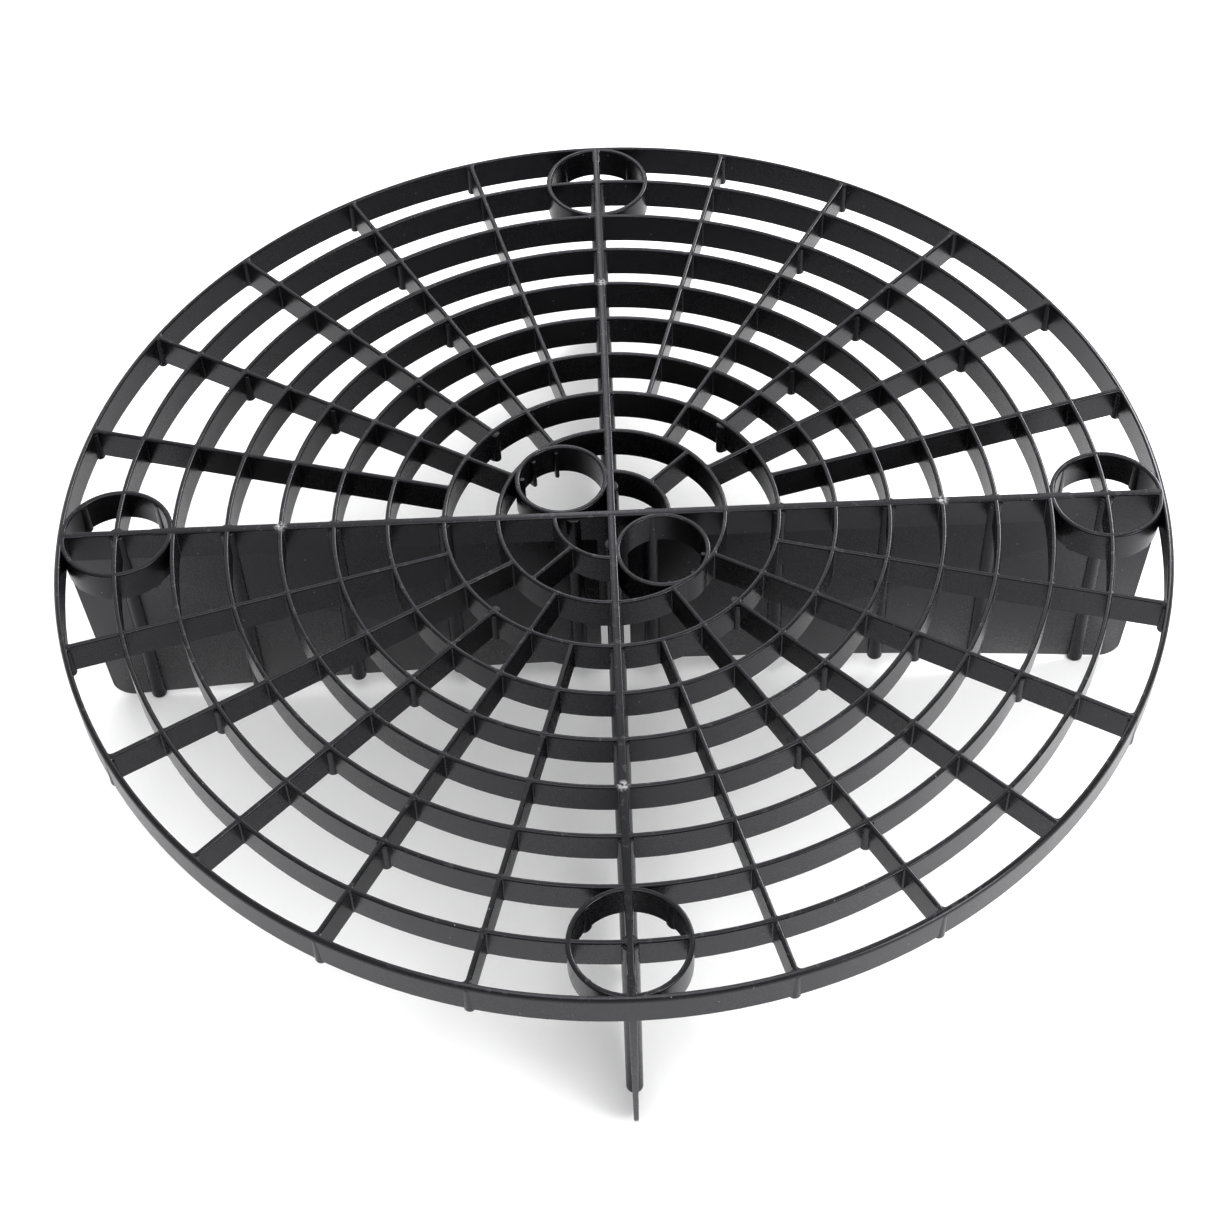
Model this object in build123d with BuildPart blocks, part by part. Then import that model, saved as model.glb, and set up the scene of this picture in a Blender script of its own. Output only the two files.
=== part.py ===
"""Wash bucket dirt screen: a round plastic grille that stands on four vanes in the bottom of a bucket.

The real article is one plastic moulding. It is described here member by member, as its mould is cut:
rim, rings, spokes, collars, vanes and ejector bosses, each a solid of its own that meets its neighbours
face to face. Sizes are in millimetres. The origin is on the floor under the centre, +Z points up to the
grille, +X to the right and -Y to the front.
"""
import os
from math import cos, radians, sin

from build123d import *

# Driving dimensions of the grille
RIM_RADIUS = 130.0          # outside of the rim at its top edge
HEIGHT = 62.2               # feet to the grille's top face
GRILLE_DEPTH = 8.6          # height of the rings, spokes and collars
RING_RADII = (116.0, 102.6, 90.05, 77.5, 65.0, 52.45, 39.2, 26.6)   # wall middles, from outside to inside
INNER_ARC_RADIUS = 13.4

# Walls are drafted: thicker at the top, where they are rounded over, than at the foot
RIM_WIDTHS = (1.4, 1.0)     # top, foot
WALL_WIDTHS = (1.15, 0.8)
COLLAR_WIDTHS = (1.25, 0.95)
MAIN_WIDTHS = (2.0, 1.87)
WAIST_WIDTH = 1.6           # the main spokes are slimmer at the top inside the edge collars
WAIST_SPAN = (107.6, 123.8)
CROWN = 0.32                # radius of the rounded top edges
RIM_OUTER_CROWN = 0.8       # the rim's outer top edge is rounded more
SPOKE_END = 129.04          # the spokes end inside the rim, under the flat strip along its top

# Collars
EDGE_COLLAR_AT = 116.0      # on the main spokes, centred on the outermost ring
EDGE_COLLAR_RADIUS = 12.68  # wall middle
CENTRE_COLLAR_AT = 11.5     # both |x| and |y| of the two centre collars
CENTRE_COLLAR_RADIUS = 10.5
RING_8_GAP = 17.0           # degrees of the innermost ring that each centre collar's wall replaces
TOOTH_WIDTH = 1.1
TOOTH_TIP = 8.75            # from the centre collar's axis
TOOTH_SPREAD = 38.0         # degrees either side of the tooth that points away from the grille's centre

# Vanes under the main spokes
VANE_TOP_EDGE = 129.55      # radius of the outer edge where it leaves the rim
VANE_LOW_EDGE = 126.6       # and near the floor
VANE_INNER_EDGE = 3.6
VANE_FOOT_WIDTH = 1.05
VANE_CORNER = 5.0
ARCH_RADIUS = 1163.0        # the vanes' bottom edges arch over a domed bucket floor
FOOT_PROUD = 1.0            # how far bosses and column feet pass the wall that they stand on
COLUMN_RADII_AT = (9.0, 39.2, 65.0, 90.05, 116.0)
COLUMN_RADIUS = 1.95
COLUMN_DROP = 0.6           # the columns start this far below the top face
WEB_WIDTH = 1.0             # thin cross that joins the four vanes at the centre
WEB_DEPTH = 27.0

# Ejector bosses on the grille
BOSS_DROP = 1.1             # the bosses start this far below the top face
BOSS_RADIUS = 1.45
RIM_BOSS_AT = 128.88
RIM_BOSS_RADIUS = 1.2
COLLAR_BOSS_INSET = 0.33    # the collars' bosses show only on the inside
COLLAR_BOSS_RADIUS = 0.76
COLLAR_BOSS_DROP = 0.5
RING_7_BOSS_INSET = 0.62    # a second, higher boss on the inner face of ring 7
RING_7_BOSS_RADIUS = 1.15
RING_7_BOSS_DROP = 0.45

GRILLE_FOOT = HEIGHT - GRILLE_DEPTH
SIDES = {"right": 0, "back": 90, "left": 180, "front": 270}
QUARTERS = {"back_right": 0, "back_left": 90, "front_left": 180, "front_right": 270}


def vane_foot(radius):
    """Height of the vanes' arched bottom edge at a distance from the axis."""
    foot_radius = COLUMN_RADII_AT[-1]
    return FOOT_PROUD + (foot_radius**2 - radius**2) / (2 * ARCH_RADIUS)


def polar(radius, angle, centre=(0.0, 0.0)):
    """A point at a radius and an angle in degrees from a centre, as x and y."""
    return centre[0] + radius * cos(radians(angle)), centre[1] + radius * sin(radians(angle))


def wall_section(widths, outer_crown=CROWN):
    """The upright section of a grille wall, its top middle at the sketch's origin and its outer face at +X."""
    top, foot = widths
    with BuildSketch() as section:
        with BuildLine():
            Polyline(
                (-foot / 2, -GRILLE_DEPTH),
                (foot / 2, -GRILLE_DEPTH),
                (top / 2, 0),
                (-top / 2, 0),
                close=True,
            )
        make_face()
        fillet(section.vertices().group_by(Axis.Y)[-1].sort_by(Axis.X)[-1], outer_crown)
        fillet(section.vertices().group_by(Axis.Y)[-1].sort_by(Axis.X)[0], CROWN)
    return section.sketch


def round_wall(radius, widths, centre=(0.0, 0.0), outer_crown=CROWN):
    """A full ring wall about an upright axis through the centre."""
    with BuildPart() as wall:
        section = Plane(origin=(centre[0] + radius, centre[1], HEIGHT), x_dir=(1, 0, 0), z_dir=(0, -1, 0))
        with BuildSketch(section):
            add(wall_section(widths, outer_crown))
        revolve(axis=Axis((centre[0], centre[1], 0), (0, 0, 1)))
    return wall.part


def straight_wall(start, end, widths):
    """A spoke along +X between two radii."""
    with BuildPart() as wall:
        with BuildSketch(Plane(origin=(start, 0, HEIGHT), x_dir=(0, 1, 0), z_dir=(1, 0, 0))):
            add(wall_section(widths))
        extrude(amount=end - start)
    return wall.part


def turned(shape, angle):
    """A copy turned about the grille's axis."""
    return shape.rotate(Axis.Z, angle)


def column(x, y, radius, bottom, top=HEIGHT - BOSS_DROP):
    """An upright round column."""
    with BuildPart() as post:
        with BuildSketch(Plane.XY.offset(bottom)):
            with Locations((x, y)):
                Circle(radius)
        extrude(amount=top - bottom)
        fillet(post.faces().sort_by(Axis.Z)[0].edges(), radius * 0.3)
    return post.part


def save(builder, name):
    """Label a finished member and write it as its own STEP file."""
    builder.part.label = name
    export_step(builder.part, f"parts/{name}.step")


os.makedirs("parts", exist_ok=True)

# Outer rim: the bucket-side wall of the grille, one closed ring
with BuildPart() as outer_rim:
    add(round_wall(RIM_RADIUS - RIM_WIDTHS[0] / 2, RIM_WIDTHS, outer_crown=RIM_OUTER_CROWN))
save(outer_rim, "outer_rim")
rim = outer_rim.part

# Whole ring walls, before the spokes are let into them
whole_rings = [round_wall(radius, WALL_WIDTHS) for radius in RING_RADII]
short_spoke_ring = whole_rings[6]       # the 15 and 45 degree spokes stop here
long_spoke_ring = whole_rings[7]        # the 30 degree spokes go on to here

# Main spokes: four thick bars that mitre together at the centre
main_spokes = {}
for side, angle in SIDES.items():
    with BuildPart() as spoke:
        add(straight_wall(0, WAIST_SPAN[0], MAIN_WIDTHS))
        add(straight_wall(*WAIST_SPAN, (WAIST_WIDTH, MAIN_WIDTHS[1])))
        add(straight_wall(WAIST_SPAN[1], SPOKE_END, MAIN_WIDTHS))
        with BuildSketch(Plane.XY.offset(GRILLE_FOOT)):
            with BuildLine():
                Polyline((0, 0), (RIM_RADIUS, -RIM_RADIUS), (RIM_RADIUS, RIM_RADIUS), close=True)
            make_face()
        extrude(amount=GRILLE_DEPTH, mode=Mode.INTERSECT)
        add(rim, mode=Mode.SUBTRACT)
    main_spokes[side] = turned(spoke.part, angle)
    with BuildPart() as placed:
        add(main_spokes[side])
    save(placed, f"main_spoke_{side}")
main_cross = list(main_spokes.values())

# Thin spokes: five in each quarter, at 15, 30, 45, 60 and 75 degrees
short_bar = straight_wall(RING_RADII[6], SPOKE_END, WALL_WIDTHS)
short_spoke = short_bar - rim - short_spoke_ring
long_bar = straight_wall(RING_RADII[7], SPOKE_END, WALL_WIDTHS)
long_spoke = long_bar - rim - long_spoke_ring
SPOKE_KINDS = {15: short_spoke, 30: long_spoke, 45: short_spoke, 60: long_spoke, 75: short_spoke}
thin_spokes = {}
for quarter, start_angle in QUARTERS.items():
    with BuildPart() as spokes:
        for angle, kind in SPOKE_KINDS.items():
            thin_spokes[start_angle + angle] = turned(kind, start_angle + angle)
            add(thin_spokes[start_angle + angle])
    save(spokes, f"spokes_{quarter}")
long_spokes = [spoke for angle, spoke in thin_spokes.items() if angle % 90 in (30, 60)]

# Edge collars: a round socket on each main spoke, between the rim and the second ring
whole_edge_collar = round_wall(EDGE_COLLAR_RADIUS, COLLAR_WIDTHS, (EDGE_COLLAR_AT, 0))
edge_collars = {}
for side, angle in SIDES.items():
    with BuildPart() as collar:
        add(turned(whole_edge_collar, angle))
        add([rim, whole_rings[1], main_spokes[side]], mode=Mode.SUBTRACT)
    edge_collars[side] = collar.part
    save(collar, f"edge_collar_{side}")

# Centre collars: two open sockets in opposite quarters, tangent to the main spokes
CENTRE_COLLARS = {
    "back_left": (-CENTRE_COLLAR_AT, CENTRE_COLLAR_AT),
    "front_right": (CENTRE_COLLAR_AT, -CENTRE_COLLAR_AT),
}
centre_collars = {}
for quarter, centre in CENTRE_COLLARS.items():
    with BuildPart() as collar:
        add(round_wall(CENTRE_COLLAR_RADIUS, COLLAR_WIDTHS, centre))
        add(main_cross, mode=Mode.SUBTRACT)
    centre_collars[quarter] = collar.part
    save(collar, f"centre_collar_{quarter}")

# Rings: each is cut into arcs where the spokes and collars pass through it
ring_members = []
for number, whole in enumerate(whole_rings, start=1):
    with BuildPart() as ring:
        add(whole)
        add(main_cross, mode=Mode.SUBTRACT)
        if number <= 6:
            add(list(thin_spokes.values()), mode=Mode.SUBTRACT)
        if number == 7:
            add(long_spokes, mode=Mode.SUBTRACT)
        if number == 1:
            add(list(edge_collars.values()), mode=Mode.SUBTRACT)
        if number == 8:
            for quarter, centre in CENTRE_COLLARS.items():
                outward_angle = QUARTERS[quarter] + 45
                with BuildSketch(Plane.XY.offset(GRILLE_FOOT)):
                    with Locations(centre):
                        Circle(CENTRE_COLLAR_RADIUS + COLLAR_WIDTHS[0] / 2)
                    with BuildLine():
                        Polyline(
                            (0, 0),
                            polar(2 * RING_RADII[7], outward_angle - RING_8_GAP / 2),
                            polar(2 * RING_RADII[7], outward_angle + RING_8_GAP / 2),
                            close=True,
                        )
                    make_face()
                extrude(amount=GRILLE_DEPTH, mode=Mode.SUBTRACT)
    ring_members.append(ring.part)
    save(ring, f"ring_{number}")

# Inner quarter arcs and the struts that hold them, in the two quarters without a centre collar
whole_inner_arc = round_wall(INNER_ARC_RADIUS, WALL_WIDTHS)
whole_strut = straight_wall(INNER_ARC_RADIUS, RING_RADII[7], WALL_WIDTHS)
for quarter in ("back_right", "front_left"):
    with BuildPart() as arc:
        add(whole_inner_arc)
        with BuildSketch(Plane.XY.offset(GRILLE_FOOT)):
            corner = polar(2 * INNER_ARC_RADIUS, QUARTERS[quarter])
            far_corner = polar(2 * INNER_ARC_RADIUS, QUARTERS[quarter] + 90)
            with BuildLine():
                Polyline((0, 0), corner, far_corner, close=True)
            make_face()
        extrude(amount=GRILLE_DEPTH, mode=Mode.INTERSECT)
        add(main_cross, mode=Mode.SUBTRACT)
    save(arc, f"inner_arc_{quarter}")
    ring_members.append(arc.part)
    with BuildPart() as strut:
        add(turned(whole_strut, QUARTERS[quarter] + 45))
        add([arc.part, long_spoke_ring], mode=Mode.SUBTRACT)
    save(strut, f"inner_strut_{quarter}")

# Teeth inside the centre collars, three in each, on the side away from the grille's centre
for quarter, centre in CENTRE_COLLARS.items():
    outward_angle = QUARTERS[quarter] + 45
    with BuildPart() as teeth:
        for angle in (outward_angle - TOOTH_SPREAD, outward_angle, outward_angle + TOOTH_SPREAD):
            tooth_middle = polar((TOOTH_TIP + CENTRE_COLLAR_RADIUS) / 2, angle, centre)
            with BuildSketch(Plane.XY.offset(GRILLE_FOOT - FOOT_PROUD)):
                with Locations(Location((*tooth_middle, 0), (0, 0, angle))):
                    SlotOverall(CENTRE_COLLAR_RADIUS - TOOTH_TIP, TOOTH_WIDTH)
            extrude(amount=GRILLE_DEPTH + FOOT_PROUD - BOSS_DROP)
        add(centre_collars[quarter], mode=Mode.SUBTRACT)
    save(teeth, f"collar_teeth_{quarter}")

# Vanes: an upright plate under each main spoke, thinner towards the floor
vane_depth = GRILLE_FOOT - vane_foot(VANE_LOW_EDGE)
vanes = {}
for side, angle in SIDES.items():
    with BuildPart() as vane:
        with BuildSketch(Plane.XZ):
            with BuildLine():
                Polyline(
                    (VANE_INNER_EDGE, vane_foot(VANE_INNER_EDGE)),
                    (VANE_INNER_EDGE, GRILLE_FOOT),
                    (VANE_TOP_EDGE, GRILLE_FOOT),
                    (VANE_LOW_EDGE, vane_foot(VANE_LOW_EDGE)),
                )
                ThreePointArc(
                    (VANE_LOW_EDGE, vane_foot(VANE_LOW_EDGE)),
                    (VANE_LOW_EDGE / 2, vane_foot(VANE_LOW_EDGE / 2)),
                    (VANE_INNER_EDGE, vane_foot(VANE_INNER_EDGE)),
                )
            outline = make_face()
            fillet(outline.vertices().sort_by_distance((VANE_LOW_EDGE, 0, 0))[0], VANE_CORNER)
        extrude(amount=MAIN_WIDTHS[1], both=True)
        with BuildSketch(Plane.YZ):
            with BuildLine():
                Polyline(
                    (-VANE_FOOT_WIDTH / 2, vane_foot(VANE_LOW_EDGE)),
                    (VANE_FOOT_WIDTH / 2, vane_foot(VANE_LOW_EDGE)),
                    (MAIN_WIDTHS[1] / 2, GRILLE_FOOT),
                    (-MAIN_WIDTHS[1] / 2, GRILLE_FOOT),
                    close=True,
                )
            make_face()
        extrude(amount=RIM_RADIUS, mode=Mode.INTERSECT)
    with BuildPart() as placed:
        add(turned(vane.part, angle))
    vanes[side] = placed.part
    save(placed, f"vane_{side}")

# Centre web: a thin cross between the vanes' inner edges, open below so that water can cross over
with BuildPart() as centre_web:
    with BuildSketch(Plane.XY.offset(GRILLE_FOOT - WEB_DEPTH)):
        Rectangle(2 * VANE_INNER_EDGE, WEB_WIDTH)
        Rectangle(WEB_WIDTH, 2 * VANE_INNER_EDGE)
    extrude(amount=WEB_DEPTH)
save(centre_web, "centre_web")

# Ejector columns on the vanes: round posts that straddle each vane and end in the feet
for side, angle in SIDES.items():
    with BuildPart() as columns:
        for radius in COLUMN_RADII_AT:
            foot = vane_foot(radius) - FOOT_PROUD
            add(column(*polar(radius, angle), COLUMN_RADIUS, foot, HEIGHT - COLUMN_DROP))
        add([vanes[side], *main_cross, *ring_members], mode=Mode.SUBTRACT)
        for centre in CENTRE_COLLARS.values():
            with BuildSketch(Plane.XY.offset(GRILLE_FOOT)):
                with Locations(centre):
                    Circle(CENTRE_COLLAR_RADIUS)
            extrude(amount=GRILLE_DEPTH, mode=Mode.SUBTRACT)
        add(list(centre_collars.values()), mode=Mode.SUBTRACT)
    save(columns, f"vane_columns_{side}")

# Ejector bosses under the grille: where they stand, ring by ring
BOSS_ANGLES = {2: (30, 60), 3: (45,), 4: (120, 150), 5: (45, 135), 7: (45, 135)}
with BuildPart() as grille_bosses:
    for number, angles in BOSS_ANGLES.items():
        half_turn_copies = (0, 90, 180, 270) if number == 2 else (0, 180)
        for turn in half_turn_copies:
            for angle in angles:
                place = polar(RING_RADII[number - 1], angle + turn)
                add(column(*place, BOSS_RADIUS, GRILLE_FOOT - FOOT_PROUD))
                if number == 7:
                    inner_place = polar(RING_RADII[6] - RING_7_BOSS_INSET, angle + turn)
                    inner_top = HEIGHT - RING_7_BOSS_DROP
                    add(column(*inner_place, RING_7_BOSS_RADIUS, GRILLE_FOOT - FOOT_PROUD, inner_top))
    add([*ring_members, *thin_spokes.values()], mode=Mode.SUBTRACT)
save(grille_bosses, "grille_bosses")

with BuildPart() as rim_bosses:
    for turn in SIDES.values():
        for angle in (15, 30, 60, 75):
            add(column(*polar(RIM_BOSS_AT, turn + angle), RIM_BOSS_RADIUS, GRILLE_FOOT - FOOT_PROUD))
    add([rim, *thin_spokes.values()], mode=Mode.SUBTRACT)
save(rim_bosses, "rim_bosses")

with BuildPart() as collar_bosses:
    for side, side_angle in SIDES.items():
        for angle in (45, 135, 225, 315):
            centre = polar(EDGE_COLLAR_AT, side_angle)
            place = polar(EDGE_COLLAR_RADIUS - COLLAR_BOSS_INSET, angle, centre)
            add(column(*place, COLLAR_BOSS_RADIUS, GRILLE_FOOT - FOOT_PROUD, HEIGHT - COLLAR_BOSS_DROP))
    add(list(edge_collars.values()), mode=Mode.SUBTRACT)
save(collar_bosses, "collar_bosses")
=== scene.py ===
"""Looks of the wash bucket dirt screen: one black plastic moulding, rebuilt member by member.

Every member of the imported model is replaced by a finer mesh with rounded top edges, filleted
corners and round-ended bosses. Sizes below are in millimetres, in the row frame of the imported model.
"""
from math import ceil, cos, pi, radians, sin, sqrt, tan

import bpy
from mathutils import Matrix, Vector


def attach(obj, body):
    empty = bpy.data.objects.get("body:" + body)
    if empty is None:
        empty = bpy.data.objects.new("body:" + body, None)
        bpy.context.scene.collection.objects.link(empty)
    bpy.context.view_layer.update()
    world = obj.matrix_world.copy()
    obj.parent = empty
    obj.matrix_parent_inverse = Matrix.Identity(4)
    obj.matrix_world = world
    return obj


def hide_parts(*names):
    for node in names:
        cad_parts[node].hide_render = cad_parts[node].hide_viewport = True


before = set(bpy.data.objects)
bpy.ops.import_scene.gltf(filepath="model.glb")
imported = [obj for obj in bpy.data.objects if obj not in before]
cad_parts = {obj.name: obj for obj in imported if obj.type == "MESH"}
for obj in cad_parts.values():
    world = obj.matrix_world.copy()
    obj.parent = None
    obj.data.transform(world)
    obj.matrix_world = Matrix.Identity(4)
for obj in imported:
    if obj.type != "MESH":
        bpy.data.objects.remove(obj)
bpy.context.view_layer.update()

MM = 0.001
BODY = "root"

# Heights, and walls of the grille; wall widths are (top, foot)
TOP, FOOT = 0, 1
HEIGHT = 62.2
GRILLE_DEPTH = 8.6
GRILLE_FOOT = HEIGHT - GRILLE_DEPTH
RIM_MIDDLE = 129.23
RING_RADII = (116.0, 102.6, 90.05, 77.5, 65.0, 52.45, 39.2, 26.6)
RING_7_RADIUS, RING_8_RADIUS = RING_RADII[6:]
INNER_ARC_RADIUS = 13.4
INNER_ARC_START = 1.0       # degrees past the middle line of a main spoke
RING_8_GAP = 14.0           # degrees left open at each centre collar
RIM_WIDTHS = (1.4, 1.0)
WALL_WIDTHS = (1.15, 0.8)
COLLAR_WIDTHS = (1.25, 0.95)
MAIN_WIDTHS = (2.0, 1.87)
WAIST_WIDTHS = (1.6, 1.87)
WAIST_SPAN = (107.6, 123.8)
WAIST_STEP = 0.25
SPOKE_END = 128.9

# Roundings of the walls, and the short straight stretch beside a rounding that keeps shading flat
CROWN = 0.42
MAIN_CROWN = 0.38
RIM_OUTER_CROWN = 1.0
CROWN_STEPS = 5
SMOOTH_ANGLE = 40           # edges sharper than this, in degrees, stay sharp in shading
FOOT_ROUND = 0.1
SUPPORT = 0.12

# Overlapping members sit a hair lower or higher, so that no two faces share a plane
SINK = {"main": 0.0, "rim": 0.01, "collar": 0.016, "ring": 0.022, "thin": 0.034}
CROSSING_SINK = 0.004       # for the back and front main spokes, where the four cross
WEB_SINK = 0.01

# Corner fillets, with levels of (height, share of the size, wall width, drawn into the crown by)
FILLET = 0.3
RIM_FILLET = 0.75
FILLET_STEPS = 4
FILLET_TUCK = 0.2           # how far a fillet reaches into its two walls
FILLET_LEVELS = (
    (GRILLE_FOOT + 0.05, 1.0, FOOT, 0.0),
    (HEIGHT - CROWN - 0.1, 1.0, TOP, 0.0),
    (HEIGHT - 0.2, 1.15, TOP, 0.045),
    (HEIGHT - 0.08, 1.2, TOP, 0.16),
    (HEIGHT - 0.05, 0.9, TOP, 0.22),
)
INNER_CORNERS = ((-1, 1), (-1, -1))
OUTER_CORNERS = ((1, 1), (1, -1))
ALL_CORNERS = OUTER_CORNERS + INNER_CORNERS

# Collars and teeth
EDGE_COLLAR_AT = RING_RADII[0]
EDGE_COLLAR_RADIUS = 12.68
CENTRE_COLLAR_AT = 11.5
CENTRE_COLLAR_RADIUS = 10.5
TOOTH_WIDTH = 1.1
TOOTH_TIP = 8.75
TOOTH_SPREAD = 38.0
TOOTH_CHAMFER = 0.2
TOOTH_STEPS = 8

# Vanes, their columns and the web between them
VANE_TOP_EDGE = 129.55
VANE_LOW_EDGE = 126.6
VANE_INNER_EDGE = 3.6
VANE_WIDTHS = (1.87, 1.05)
VANE_CORNER = 5.0
VANE_CORNER_STEPS = 8
VANE_EDGE = 0.22
VANE_TUCK = 0.6             # how far the vanes and the web reach up into the grille
ARCH_RADIUS = 1163.0
ARCH_STEPS = 40
FOOT_PROUD = 1.0
COLUMNS_AT = (9.0, *reversed(RING_RADII[:7:2]))     # under every second ring, and near the centre
COLUMN_RADIUS = 1.95
COLUMN_DROP = 0.6
WEB_WIDTH = 1.0
WEB_DEPTH = 27.0
WEB_REACH = 0.2             # how far the web runs past the vanes' inner edges

# Ejector bosses; their two end roundings are shares of the smaller radius
POST_FOOT_ROUNDING = 0.3
POST_TOP_ROUNDING = 0.14
POST_ROUNDING_STEPS = 3
POST_SEGMENTS = 28
BOSS_DROP = 1.1
BOSS_RADIUS = 1.45
BOSS_ANGLES = {2: (30, 60), 3: (45,), 4: (120, 150), 5: (45, 135), 7: (45, 135)}
RING_7_BOSS_INSET = 0.62
RING_7_BOSS_RADIUS = 1.15
RING_7_BOSS_DROP = 0.45
RIM_BOSS_AT = 128.85
RIM_BOSS_RADII = (1.15, 1.3)
RIM_BOSS_ANGLES = (15, 30, 60, 75)
COLLAR_BOSS_INSET = 0.2
COLLAR_BOSS_RADII = (0.62, 1.3)
COLLAR_BOSS_DROP = 0.5
COLLAR_BOSS_PROUD = 0.6
COLLAR_BOSS_ANGLES = (45, 135, 225, 315)

# Places round the axis, in degrees anticlockwise from the right
SIDES = {"right": 0, "back": 90, "left": 180, "front": 270}
QUARTERS = {"back_right": 0, "back_left": 90, "front_left": 180, "front_right": 270}
CENTRE_COLLARS = {
    "back_left": (-CENTRE_COLLAR_AT, CENTRE_COLLAR_AT),
    "front_right": (CENTRE_COLLAR_AT, -CENTRE_COLLAR_AT),
}
THIN_ANGLES = (15, 30, 45, 60, 75)
LONG_ANGLES = (30, 60)      # thin spokes that reach in to ring 8, past ring 7

# Gate scars, on the main spokes where ring 4 crosses them
GATE_AT = RING_RADII[3]
GATE_SIZE = 1.7

# Colours of the plastic and of the marks on it
DARK_PLASTIC = (0.0032, 0.0031, 0.0036)
LIGHT_PLASTIC = (0.0052, 0.0050, 0.0057)
# Pale scuff colour for the top edges, partly a painted highlight
SCUFF_AND_HIGHLIGHT_TONE = (0.032, 0.032, 0.034)
DUST_TONE = (0.16, 0.16, 0.165)
GATE_TONE = (0.34, 0.34, 0.35)

# Studio and camera, in metres and degrees
FLOOR_HALF = 6.0
ROOM_LIGHT = 0.92
BACKDROP_LIGHT = 1.8
LIGHT_AIM = (0, 0, 0.05)
CAMERA_LENS = 72.906
CAMERA_PLACE = (-0.0024546, -0.377937, 0.496175)
CAMERA_TURN = (38.8444, 1.3955, -1.8174)


def polar(radius, angle, centre=(0.0, 0.0)):
    """A point at a radius and an angle in degrees from a centre."""
    return centre[0] + radius * cos(radians(angle)), centre[1] + radius * sin(radians(angle))


def directions(angle):
    """Flat unit vectors along an angle in degrees and to its left."""
    out = Vector((cos(radians(angle)), sin(radians(angle))))
    return out, Vector((-out.y, out.x))


def vane_foot(radius):
    """Height of the vanes' arched bottom edge at a distance from the axis."""
    return FOOT_PROUD + (COLUMNS_AT[-1] ** 2 - radius**2) / (2 * ARCH_RADIUS)


class Shape:
    """The vertices and faces of one piece, gathered in millimetres."""

    def __init__(self):
        self.verts = []
        self.faces = []

    def loops(self, loops, closed_path=False):
        """Skin a row of closed loops with the same number of points; an open row gets end caps."""
        start = len(self.verts)
        count = len(loops[0])
        for loop in loops:
            self.verts.extend(loop)
        rows = len(loops) if closed_path else len(loops) - 1
        for row in range(rows):
            here = start + row * count
            there = start + (row + 1) % len(loops) * count
            for i in range(count):
                j = (i + 1) % count
                self.faces.append((here + i, here + j, there + j, there + i))
        if not closed_path:
            self.faces.append(tuple(range(start + count - 1, start - 1, -1)))
            last = start + (len(loops) - 1) * count
            self.faces.append(tuple(range(last, last + count)))


def half_section(widths, sink, crown):
    """One side of a wall's upright section, from the foot up, as (offset, height) points."""
    top, foot = widths[TOP] / 2, widths[FOOT] / 2
    crown_middle = HEIGHT - sink - crown
    foot_z = GRILLE_FOOT + sink
    points = [
        (foot - FOOT_ROUND, foot_z),
        (foot, foot_z + FOOT_ROUND),
        (foot, foot_z + FOOT_ROUND + SUPPORT),
        (top, crown_middle - SUPPORT),
    ]
    for step in range(CROWN_STEPS + 1):
        turn = pi / 2 * step / CROWN_STEPS
        points.append((top - crown + crown * cos(turn), crown_middle + crown * sin(turn)))
    return points


def wall_section(widths, sink, outer_crown, inner_crown):
    """The upright section of a wall, its positive side on the right of the path."""
    inner = half_section(widths, sink, inner_crown)
    return half_section(widths, sink, outer_crown) + [(-offset, z) for offset, z in reversed(inner)]


def sweep_wall(shape, path, sink, closed=False, outer_crown=CROWN, inner_crown=CROWN):
    """Sweep wall sections along a flat path of (x, y, widths)."""
    loops = []
    count = len(path)
    for i, (x, y, widths) in enumerate(path):
        before = path[(i - 1) % count] if closed or i else path[i]
        after = path[(i + 1) % count] if closed or i < count - 1 else path[i]
        along = Vector((after[0] - before[0], after[1] - before[1])).normalized()
        normal = Vector((along.y, -along.x))
        loops.append([
            (x + normal.x * offset, y + normal.y * offset, z)
            for offset, z in wall_section(widths, sink, outer_crown, inner_crown)
        ])
    shape.loops(loops, closed_path=closed)


def round_wall(shape, radius, widths, sink, centre=(0.0, 0.0), span=None, outer_crown=CROWN):
    """A ring wall, whole or over a span of angles in degrees."""
    full_steps = 4 * ceil(5 * sqrt(radius))
    first, last = span or (0.0, 360.0)
    steps = ceil(full_steps * (last - first) / 360)
    angles = [first + (last - first) * i / steps for i in range(steps + (1 if span else 0))]
    path = [(*polar(radius, angle, centre), widths) for angle in angles]
    sweep_wall(shape, path, sink, closed=span is None, outer_crown=outer_crown)


def straight_wall(shape, start, end, angle, widths, sink):
    """A spoke between two radii at one angle."""
    path = [(*polar(radius, angle), widths) for radius in (start, end)]
    sweep_wall(shape, path, sink)


def corner_fillets(shape, radius, angle, spoke_widths, ring_widths, signs, fillet=FILLET):
    """Concave fillets where a spoke crosses a ring, one for each (along spoke, across spoke) sign."""
    at = polar(radius, angle)
    out, side = directions(angle)
    for along_sign, side_sign in signs:
        loops = []
        for z, share, level, less in FILLET_LEVELS:
            spoke_half = spoke_widths[level] / 2 - less
            ring_half = ring_widths[level] / 2 - less
            size = fillet * share
            points = [
                (ring_half - FILLET_TUCK, spoke_half - FILLET_TUCK),
                (ring_half + size, spoke_half - FILLET_TUCK),
            ]
            middle = (ring_half + size, spoke_half + size)
            for step in range(FILLET_STEPS + 1):
                points.append(polar(size, 270 - 90 * step / FILLET_STEPS, middle))
            points.append((ring_half - FILLET_TUCK, spoke_half + size))
            if along_sign * side_sign < 0:
                points.reverse()
            loops.append([
                (
                    at[0] + out.x * u * along_sign + side.x * v * side_sign,
                    at[1] + out.y * u * along_sign + side.y * v * side_sign,
                    z,
                )
                for u, v in points
            ])
        shape.loops(loops)


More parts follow.
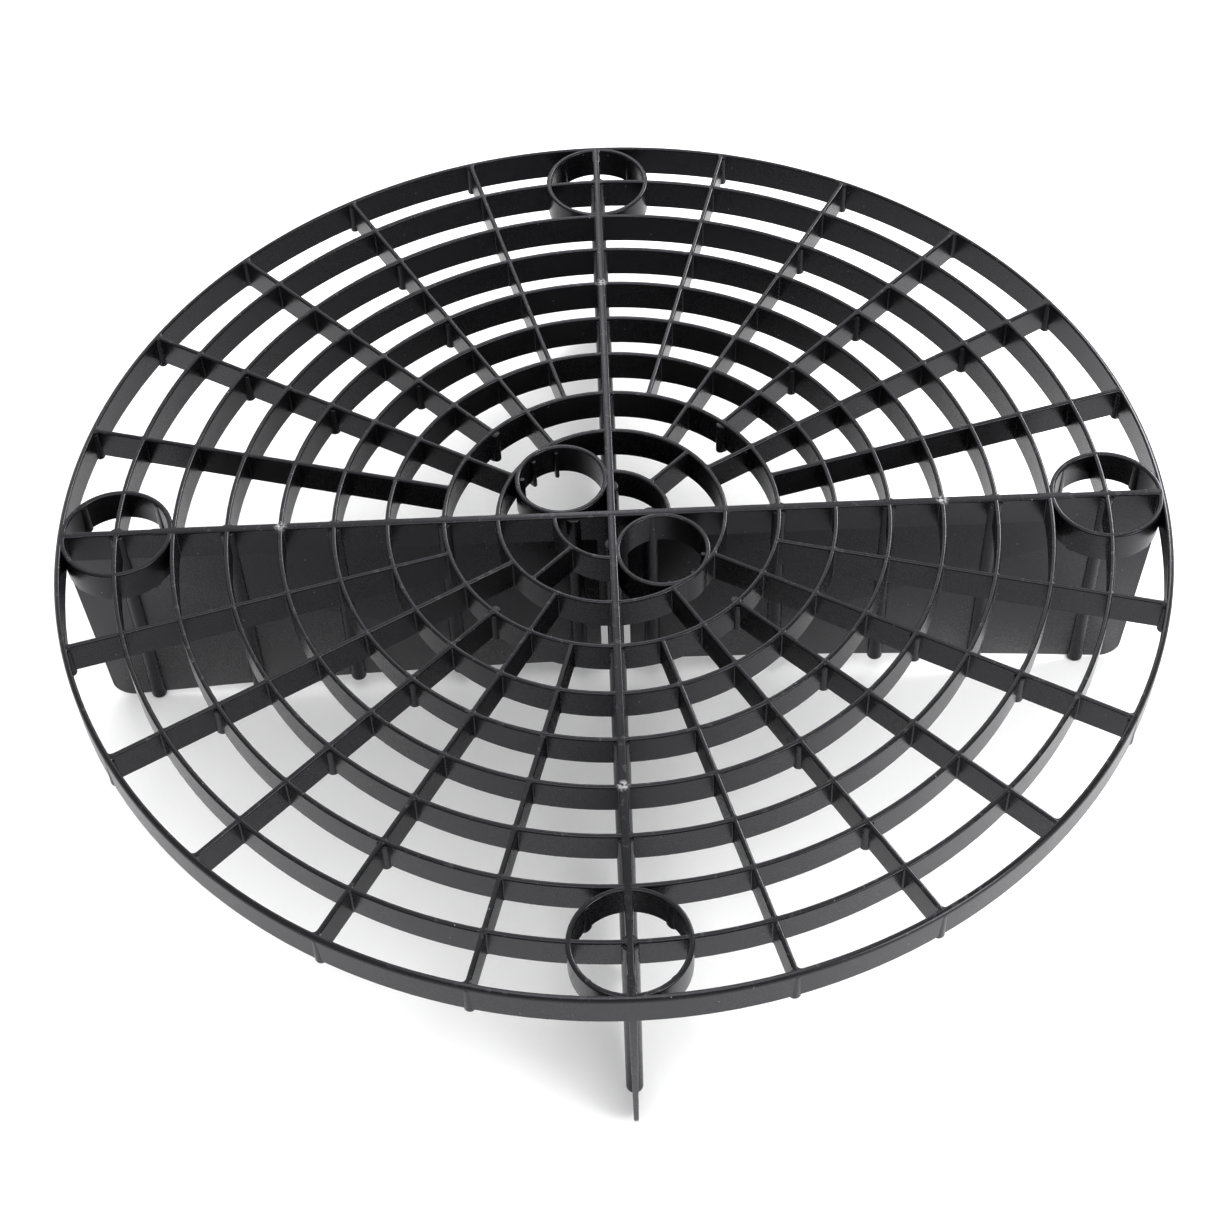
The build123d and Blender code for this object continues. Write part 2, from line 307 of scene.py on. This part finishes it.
def post(shape, at, radii, bottom, top=HEIGHT - BOSS_DROP, angle=0.0):
    """An upright round or oval post with rounded ends, its first radius along the angle."""
    foot_rounding = min(radii) * POST_FOOT_ROUNDING
    top_rounding = min(radii) * POST_TOP_ROUNDING
    turns = [pi / 2 * step / POST_ROUNDING_STEPS for step in range(POST_ROUNDING_STEPS + 1)]
    levels = [
        (foot_rounding - foot_rounding * sin(turn), bottom + foot_rounding - foot_rounding * cos(turn))
        for turn in turns
    ]
    levels.append((0.0, bottom + foot_rounding + SUPPORT))
    levels.append((0.0, top - top_rounding - SUPPORT))
    levels += [
        (top_rounding - top_rounding * cos(turn), top - top_rounding + top_rounding * sin(turn))
        for turn in turns
    ]
    out, side = directions(angle)
    loops = []
    for less, z in levels:
        loop = []
        for i in range(POST_SEGMENTS):
            turn = 2 * pi * i / POST_SEGMENTS
            u, v = (radii[0] - less) * cos(turn), (radii[1] - less) * sin(turn)
            loop.append((at[0] + out.x * u + side.x * v, at[1] + out.y * u + side.y * v, z))
        loops.append(loop)
    shape.loops(loops)


def boss(shape, at, radius, top=HEIGHT - BOSS_DROP):
    """A round ejector boss on a grille wall."""
    post(shape, at, (radius, radius), GRILLE_FOOT - FOOT_PROUD, top)


def prism(shape, outline, levels):
    """An upright prism; each level is (z, scale about the outline's own middle)."""
    middle = Vector((sum(p[0] for p in outline), sum(p[1] for p in outline))) / len(outline)
    shape.loops([
        [(middle.x + (x - middle.x) * scale, middle.y + (y - middle.y) * scale, z) for x, y in outline]
        for z, scale in levels
    ])


def tooth(shape, centre, angle):
    """A small round-ended tooth on the inner face of a centre collar."""
    half = TOOTH_WIDTH / 2
    tip = polar(TOOTH_TIP + half, angle, centre)
    root = polar(CENTRE_COLLAR_RADIUS, angle, centre)
    outline = [polar(half, angle + 90 + 180 * step / TOOTH_STEPS, tip) for step in range(TOOTH_STEPS + 1)]
    outline += [polar(half, angle + 90 * sign, root) for sign in (-1, 1)]
    low, high = GRILLE_FOOT - FOOT_PROUD, HEIGHT - BOSS_DROP
    levels = [(low, 0.8), (low + TOOTH_CHAMFER, 1.0), (high - TOOTH_CHAMFER, 1.0), (high, 0.85)]
    prism(shape, outline, levels)


def vane_outline():
    """The vane's outline as (radius, z), anticlockwise seen from the front."""
    points = [(VANE_INNER_EDGE, GRILLE_FOOT + VANE_TUCK)]
    corner = Vector((VANE_LOW_EDGE, vane_foot(VANE_LOW_EDGE)))
    along_foot = Vector((1.0, -VANE_LOW_EDGE / ARCH_RADIUS)).normalized()
    up_edge = (Vector((VANE_TOP_EDGE, GRILLE_FOOT)) - corner).normalized()
    turning = along_foot.angle(up_edge)
    corner_start = corner - along_foot * (VANE_CORNER * tan(turning / 2))
    for i in range(ARCH_STEPS):
        radius = VANE_INNER_EDGE + (corner_start.x - VANE_INNER_EDGE) * i / ARCH_STEPS
        points.append((radius, vane_foot(radius)))
    corner_middle = corner_start + Vector((-along_foot.y, along_foot.x)) * VANE_CORNER
    spoke = corner_start - corner_middle
    for i in range(VANE_CORNER_STEPS + 1):
        turn = turning * i / VANE_CORNER_STEPS
        points.append((
            corner_middle.x + spoke.x * cos(turn) - spoke.y * sin(turn),
            corner_middle.y + spoke.x * sin(turn) + spoke.y * cos(turn),
        ))
    points.append((VANE_TOP_EDGE, GRILLE_FOOT))
    points.append((VANE_TOP_EDGE, GRILLE_FOOT + VANE_TUCK))
    return points


def vane_half_width(z):
    """Half the vane's thickness at a height."""
    share = (GRILLE_FOOT - z) / (GRILLE_FOOT - vane_foot(VANE_LOW_EDGE))
    return (VANE_WIDTHS[TOP] + (VANE_WIDTHS[FOOT] - VANE_WIDTHS[TOP]) * min(1.0, share)) / 2


def inset(outline, distance):
    """The outline moved inwards by a small distance."""
    moved = []
    count = len(outline)
    for i, point in enumerate(outline):
        before, after = Vector(outline[i - 1]), Vector(outline[(i + 1) % count])
        here = Vector(point)
        a, b = (here - before).normalized(), (after - here).normalized()
        normal = Vector((-a.y - b.y, a.x + b.x)).normalized()
        stretch = 1 / max(0.5, normal.dot(Vector((-a.y, a.x))))
        moved.append(tuple(here + normal * distance * stretch))
    return moved


def vane(shape, angle):
    """An upright plate with slightly rounded edges, thinner towards the floor."""
    out, side = directions(angle)
    outline = vane_outline()
    one_side = ((VANE_EDGE, 1.0), (VANE_EDGE * 0.3, 0.84), (0.0, 0.5))
    other_side = tuple((distance, -share) for distance, share in reversed(one_side))
    loops = []
    for distance, share in one_side + other_side:
        loop = []
        for radius, z in inset(outline, distance):
            offset = vane_half_width(z) * share
            loop.append((out.x * radius + side.x * offset, out.y * radius + side.y * offset, z))
        loops.append(loop)
    shape.loops(loops)


def box(shape, half_x, half_y, bottom, top):
    """A plain box round the axis."""
    outline = [(-half_x, -half_y), (half_x, -half_y), (half_x, half_y), (-half_x, half_y)]
    prism(shape, outline, [(bottom, 1.0), (top, 1.0)])


def piece(name, shape):
    """Make one mesh object that stands for the CAD node of the same name."""
    mesh = bpy.data.meshes.new("screen_" + name)
    mesh.from_pydata([(x * MM, y * MM, z * MM) for x, y, z in shape.verts], [], shape.faces)
    mesh.shade_smooth()
    mesh.set_sharp_from_angle(angle=radians(SMOOTH_ANGLE))
    mesh.materials.append(plastic)
    obj = bpy.data.objects.new("screen_" + name, mesh)
    bpy.context.scene.collection.objects.link(obj)
    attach(obj, BODY)
    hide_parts(name)


def new_material(name):
    """An empty node material, with its nodes and links."""
    material = bpy.data.materials.new(name)
    material.use_nodes = True
    nodes = material.node_tree.nodes
    nodes.clear()
    return material, nodes, material.node_tree.links


def map_range(nodes, links, source, low, high, start, end, interpolation="LINEAR"):
    """Map a value's range to another one, clamped."""
    node = nodes.new("ShaderNodeMapRange")
    node.interpolation_type = interpolation
    node.inputs["From Min"].default_value = low
    node.inputs["From Max"].default_value = high
    node.inputs["To Min"].default_value = start
    node.inputs["To Max"].default_value = end
    links.new(source, node.inputs["Value"])
    return node.outputs["Result"]


def black_plastic():
    """Matt black polypropylene: fine grain, soft flow marks, pale scuffs that also paint a highlight along
    the top edges, dust and gate scars.
    """
    material, nodes, links = new_material("black_polypropylene")
    output = nodes.new("ShaderNodeOutputMaterial")
    shader = nodes.new("ShaderNodeBsdfPrincipled")
    shader.inputs["Specular IOR Level"].default_value = 0.37
    shader.inputs["Specular Tint"].default_value = (0.92, 0.9, 1.0, 1)
    links.new(shader.outputs["BSDF"], output.inputs["Surface"])
    coords = nodes.new("ShaderNodeTexCoord")

    # The object folded into one quarter, where its four gates fall on two places
    quadrant = nodes.new("ShaderNodeVectorMath")
    quadrant.operation = "ABSOLUTE"
    links.new(coords.outputs["Object"], quadrant.inputs[0])

    def noise(scale, detail, stretch=(1, 1, 1)):
        mapping = nodes.new("ShaderNodeMapping")
        mapping.inputs["Scale"].default_value = stretch
        links.new(coords.outputs["Object"], mapping.inputs["Vector"])
        node = nodes.new("ShaderNodeTexNoise")
        node.inputs["Scale"].default_value = scale
        node.inputs["Detail"].default_value = detail
        links.new(mapping.outputs["Vector"], node.inputs["Vector"])
        return node.outputs["Fac"]

    def ramp(source, low, high, start=0.0, end=1.0):
        return map_range(nodes, links, source, low, high, start, end)

    def combine(operation, first, second):
        node = nodes.new("ShaderNodeMath")
        node.operation = operation
        links.new(first, node.inputs[0])
        links.new(second, node.inputs[1])
        return node.outputs["Value"]

    def blend(factor, first, second):
        """Mix towards a second colour; the first may be a colour or another mix."""
        node = nodes.new("ShaderNodeMix")
        node.data_type = "RGBA"
        links.new(factor, node.inputs["Factor"])
        if isinstance(first, tuple):
            node.inputs["A"].default_value = (*first, 1)
        else:
            links.new(first, node.inputs["A"])
        node.inputs["B"].default_value = (*second, 1)
        return node.outputs["Result"]

    def near_gate(place):
        """Distance from a place in the folded quarter."""
        node = nodes.new("ShaderNodeVectorMath")
        node.operation = "DISTANCE"
        links.new(quadrant.outputs["Vector"], node.inputs[0])
        node.inputs[1].default_value = [value * MM for value in place]
        return node.outputs["Value"]

    flow = noise(scale=45, detail=3)
    grain = noise(scale=2600, detail=2)
    drag = noise(scale=900, detail=2, stretch=(1, 1, 0.06))

    # Four injection gates with torn, pale scars
    gate_distance = combine("MINIMUM", near_gate((GATE_AT, 0, HEIGHT)), near_gate((0, GATE_AT, HEIGHT)))
    gate_spread = ramp(gate_distance, 0.5 * MM, GATE_SIZE * MM, 1.0, 0.0)
    gate = combine("MULTIPLY", gate_spread, ramp(noise(scale=1500, detail=3), 0.42, 0.56))

    # Pale scuffs along the top edges, partly real wear and partly a painted highlight there, and a few
    # specks of dust anywhere
    height = nodes.new("ShaderNodeSeparateXYZ")
    links.new(coords.outputs["Object"], height.inputs["Vector"])
    top_edge = ramp(height.outputs["Z"], (HEIGHT - 0.5) * MM, (HEIGHT - 0.15) * MM)
    scuff_and_highlight = combine("MULTIPLY", top_edge, ramp(noise(scale=620, detail=4), 0.6, 0.72))
    dust_cells = nodes.new("ShaderNodeTexVoronoi")
    dust_cells.inputs["Scale"].default_value = 230
    links.new(coords.outputs["Object"], dust_cells.inputs["Vector"])
    dust = ramp(dust_cells.outputs["Distance"], 0.028, 0.045, 1.0, 0.0)

    tone = blend(ramp(flow, 0.3, 0.7), DARK_PLASTIC, LIGHT_PLASTIC)
    # The top edges are lightened by scuffs and by a painted highlight
    tone = blend(scuff_and_highlight, tone, SCUFF_AND_HIGHLIGHT_TONE)
    tone = blend(dust, tone, DUST_TONE)
    tone = blend(gate, tone, GATE_TONE)
    links.new(tone, shader.inputs["Base Color"])

    # Roughness varies with the flow and the grain; top edges are polished, gate scars are dull
    rough = combine("ADD", ramp(flow, 0.3, 0.7, 0.26, 0.32), ramp(grain, 0.3, 0.7, -0.03, 0.03))
    rough = combine("ADD", rough, ramp(top_edge, 0.0, 1.0, 0.0, -0.07))
    rough = combine("ADD", rough, ramp(gate, 0.0, 1.0, 0.0, 0.35))
    links.new(rough, shader.inputs["Roughness"])

    # Relief, with distances in millimetres
    relief = None
    for source, strength, distance in ((grain, 0.4, 0.02), (drag, 0.3, 0.03), (gate, 0.8, 0.15)):
        bump = nodes.new("ShaderNodeBump")
        bump.inputs["Strength"].default_value = strength
        bump.inputs["Distance"].default_value = distance * MM
        links.new(source, bump.inputs["Height"])
        if relief:
            links.new(relief, bump.inputs["Normal"])
        relief = bump.outputs["Normal"]
    links.new(relief, shader.inputs["Normal"])
    return material


def outer_rim():
    """The outer rim, with the corners where every spoke meets it."""
    rim = Shape()
    round_wall(rim, RIM_MIDDLE, RIM_WIDTHS, SINK["rim"], outer_crown=RIM_OUTER_CROWN)
    for first in QUARTERS.values():
        corner_fillets(rim, RIM_MIDDLE, first, MAIN_WIDTHS, RIM_WIDTHS, INNER_CORNERS, RIM_FILLET)
        for angle in THIN_ANGLES:
            at = first + angle
            corner_fillets(rim, RIM_MIDDLE, at, WALL_WIDTHS, RIM_WIDTHS, INNER_CORNERS, RIM_FILLET)
    piece("outer_rim", rim)


def ring_corners(number, angle):
    """The corners that a thin spoke makes with a ring; most spokes end at ring 7, some at ring 8."""
    if number <= 6 or (number == 7 and angle in LONG_ANGLES):
        return ALL_CORNERS
    if number == 7 or angle in LONG_ANGLES:
        return OUTER_CORNERS
    return ()


def rings():
    """Eight rings, the last one open at the centre collars."""
    for number, radius in enumerate(RING_RADII, start=1):
        ring = Shape()
        if number == 8:
            for gap in (-45, 135):
                span = (gap + RING_8_GAP / 2, gap + 180 - RING_8_GAP / 2)
                round_wall(ring, radius, WALL_WIDTHS, SINK["ring"], span=span)
        else:
            round_wall(ring, radius, WALL_WIDTHS, SINK["ring"])
        for first in QUARTERS.values():
            corner_fillets(ring, radius, first, MAIN_WIDTHS, WALL_WIDTHS, ALL_CORNERS)
            for angle in THIN_ANGLES:
                corners = ring_corners(number, angle)
                corner_fillets(ring, radius, first + angle, WALL_WIDTHS, WALL_WIDTHS, corners)
        piece(f"ring_{number}", ring)


def inner_arcs():
    """Two quarter arcs round the centre, each held by a short strut."""
    for quarter in ("back_right", "front_left"):
        first = QUARTERS[quarter]
        middle = first + 45
        span = (first + INNER_ARC_START, first + 90 - INNER_ARC_START)
        arc = Shape()
        round_wall(arc, INNER_ARC_RADIUS, WALL_WIDTHS, SINK["ring"], span=span)
        corner_fillets(arc, INNER_ARC_RADIUS, middle, WALL_WIDTHS, WALL_WIDTHS, OUTER_CORNERS)
        piece(f"inner_arc_{quarter}", arc)
        strut = Shape()
        straight_wall(strut, INNER_ARC_RADIUS, RING_8_RADIUS, middle, WALL_WIDTHS, SINK["thin"])
        corner_fillets(strut, RING_8_RADIUS, middle, WALL_WIDTHS, WALL_WIDTHS, INNER_CORNERS)
        piece(f"inner_strut_{quarter}", strut)


def main_spokes():
    """Four thick spokes, slimmer at the top inside the edge collars."""
    waist_in, waist_out = WAIST_SPAN
    stations = (
        (0.0, MAIN_WIDTHS),
        (waist_in - WAIST_STEP, MAIN_WIDTHS),
        (waist_in + WAIST_STEP, WAIST_WIDTHS),
        (waist_out - WAIST_STEP, WAIST_WIDTHS),
        (waist_out + WAIST_STEP, MAIN_WIDTHS),
        (SPOKE_END, MAIN_WIDTHS),
    )
    for side, angle in SIDES.items():
        spoke = Shape()
        path = [(*polar(radius, angle), widths) for radius, widths in stations]
        sink = SINK["main"] + (CROSSING_SINK if side in ("back", "front") else 0.0)
        sweep_wall(spoke, path, sink, outer_crown=MAIN_CROWN, inner_crown=MAIN_CROWN)
        piece(f"main_spoke_{side}", spoke)


def thin_spokes():
    """Five thin spokes in each quarter."""
    for quarter, first in QUARTERS.items():
        spokes = Shape()
        for angle in THIN_ANGLES:
            start = RING_8_RADIUS if angle in LONG_ANGLES else RING_7_RADIUS
            straight_wall(spokes, start, SPOKE_END, first + angle, WALL_WIDTHS, SINK["thin"])
        piece(f"spokes_{quarter}", spokes)


def collars():
    """Round sockets beside the rim and beside the centre, the latter with three teeth each."""
    for side, angle in SIDES.items():
        collar = Shape()
        centre = polar(EDGE_COLLAR_AT, angle)
        round_wall(collar, EDGE_COLLAR_RADIUS, COLLAR_WIDTHS, SINK["collar"], centre)
        piece(f"edge_collar_{side}", collar)
    for quarter, centre in CENTRE_COLLARS.items():
        collar = Shape()
        round_wall(collar, CENTRE_COLLAR_RADIUS, COLLAR_WIDTHS, SINK["collar"], centre)
        piece(f"centre_collar_{quarter}", collar)
        outward = QUARTERS[quarter] + 45
        teeth = Shape()
        for angle in (outward - TOOTH_SPREAD, outward, outward + TOOTH_SPREAD):
            tooth(teeth, centre, angle)
        piece(f"collar_teeth_{quarter}", teeth)


def vanes():
    """Four vanes with their ejector columns, and the web that joins the vanes' inner edges."""
    for side, angle in SIDES.items():
        plate = Shape()
        vane(plate, angle)
        piece(f"vane_{side}", plate)
        columns = Shape()
        for radius in COLUMNS_AT:
            foot = vane_foot(radius) - FOOT_PROUD
            post(columns, polar(radius, angle), (COLUMN_RADIUS, COLUMN_RADIUS), foot, HEIGHT - COLUMN_DROP)
        piece(f"vane_columns_{side}", columns)
    web = Shape()
    reach, half = VANE_INNER_EDGE + WEB_REACH, WEB_WIDTH / 2
    bottom, top = GRILLE_FOOT - WEB_DEPTH, GRILLE_FOOT + VANE_TUCK
    box(web, reach, half, bottom, top)
    box(web, half, reach, bottom + WEB_SINK, top - WEB_SINK)
    piece("centre_web", web)


def bosses():
    """Ejector bosses on the rings, the rim and the edge collars."""
    grille_bosses = Shape()
    for number, angles in BOSS_ANGLES.items():
        radius = RING_RADII[number - 1]
        for turn in (0, 90, 180, 270) if number == 2 else (0, 180):
            for angle in angles:
                boss(grille_bosses, polar(radius, angle + turn), BOSS_RADIUS)
                if number == 7:
                    inner_place = polar(radius - RING_7_BOSS_INSET, angle + turn)
                    boss(grille_bosses, inner_place, RING_7_BOSS_RADIUS, HEIGHT - RING_7_BOSS_DROP)
    piece("grille_bosses", grille_bosses)
    rim_bosses = Shape()
    for turn in SIDES.values():
        for angle in RIM_BOSS_ANGLES:
            at = turn + angle
            post(rim_bosses, polar(RIM_BOSS_AT, at), RIM_BOSS_RADII, GRILLE_FOOT - FOOT_PROUD, angle=at)
    piece("rim_bosses", rim_bosses)
    collar_bosses = Shape()
    low, high = GRILLE_FOOT - COLLAR_BOSS_PROUD, HEIGHT - COLLAR_BOSS_DROP
    for side_angle in SIDES.values():
        centre = polar(EDGE_COLLAR_AT, side_angle)
        for angle in COLLAR_BOSS_ANGLES:
            place = polar(EDGE_COLLAR_RADIUS - COLLAR_BOSS_INSET, angle, centre)
            post(collar_bosses, place, COLLAR_BOSS_RADII, low, high, angle)
    piece("collar_bosses", collar_bosses)


def pale_floor():
    """A wide plain floor."""
    material, nodes, links = new_material("pale_floor")
    output = nodes.new("ShaderNodeOutputMaterial")
    shader = nodes.new("ShaderNodeBsdfPrincipled")
    shader.inputs["Base Color"].default_value = (0.94, 0.94, 0.94, 1)
    shader.inputs["Roughness"].default_value = 0.9
    links.new(shader.outputs["BSDF"], output.inputs["Surface"])
    mesh = bpy.data.meshes.new("floor")
    half = FLOOR_HALF
    corners = [(-half, -half, 0), (half, -half, 0), (half, half, 0), (-half, half, 0)]
    mesh.from_pydata(corners, [], [(0, 1, 2, 3)])
    mesh.materials.append(material)
    floor = bpy.data.objects.new("floor", mesh)
    bpy.context.scene.collection.objects.link(floor)


def room():
    """An even pale room, with a brighter backdrop on the far side that ends below the zenith."""
    world = bpy.data.worlds.new("studio")
    bpy.context.scene.world = world
    world.use_nodes = True
    nodes, links = world.node_tree.nodes, world.node_tree.links
    background = nodes["Background"]
    background.inputs["Color"].default_value = (1.0, 1.0, 1.0, 1)

    def soft_step(source, low, high, start, end):
        return map_range(nodes, links, source, low, high, start, end, "SMOOTHSTEP")

    direction = nodes.new("ShaderNodeTexCoord")
    parts = nodes.new("ShaderNodeSeparateXYZ")
    links.new(direction.outputs["Generated"], parts.inputs["Vector"])
    panel = nodes.new("ShaderNodeMath")
    panel.operation = "MULTIPLY"
    links.new(soft_step(parts.outputs["Y"], 0.4, 0.6, 0.0, 1.0), panel.inputs[0])
    links.new(soft_step(parts.outputs["Z"], 0.78, 0.97, 1.0, 0.0), panel.inputs[1])
    strength = soft_step(panel.outputs["Value"], 0.0, 1.0, ROOM_LIGHT, BACKDROP_LIGHT)
    links.new(strength, background.inputs["Strength"])


def softbox(name, location, width, height, power):
    """A rectangular lamp that is aimed at the object."""
    light = bpy.data.lights.new(name, "AREA")
    light.shape = "RECTANGLE"
    light.size, light.size_y = width, height
    light.energy = power
    obj = bpy.data.objects.new(name, light)
    obj.location = location
    obj.rotation_mode = "QUATERNION"
    obj.rotation_quaternion = (Vector(LIGHT_AIM) - Vector(location)).to_track_quat("-Z", "Y")
    bpy.context.scene.collection.objects.link(obj)


def camera():
    """The camera, and how its picture is shown."""
    scene = bpy.context.scene
    data = bpy.data.cameras.new("camera")
    data.lens = CAMERA_LENS
    data.sensor_width = 36.0
    obj = bpy.data.objects.new("camera", data)
    obj.location = CAMERA_PLACE
    obj.rotation_euler = [radians(turn) for turn in CAMERA_TURN]
    scene.collection.objects.link(obj)
    scene.camera = obj
    scene.view_settings.view_transform = "Standard"
    scene.view_settings.gamma = 0.88


plastic = black_plastic()
outer_rim()
rings()
inner_arcs()
main_spokes()
thin_spokes()
collars()
vanes()
bosses()

pale_floor()
room()
softbox("overhead", (0.0, -0.3, 1.3), 0.8, 0.8, 8)
softbox("key", (0.6, -0.5, 0.4), 0.36, 0.36, 4)
softbox("back_light", (0.62, 0.75, 0.72), 0.3, 0.4, 8.5)
softbox("back_strip", (-0.02, 0.87, 0.88), 0.12, 0.36, 0.7)
camera()
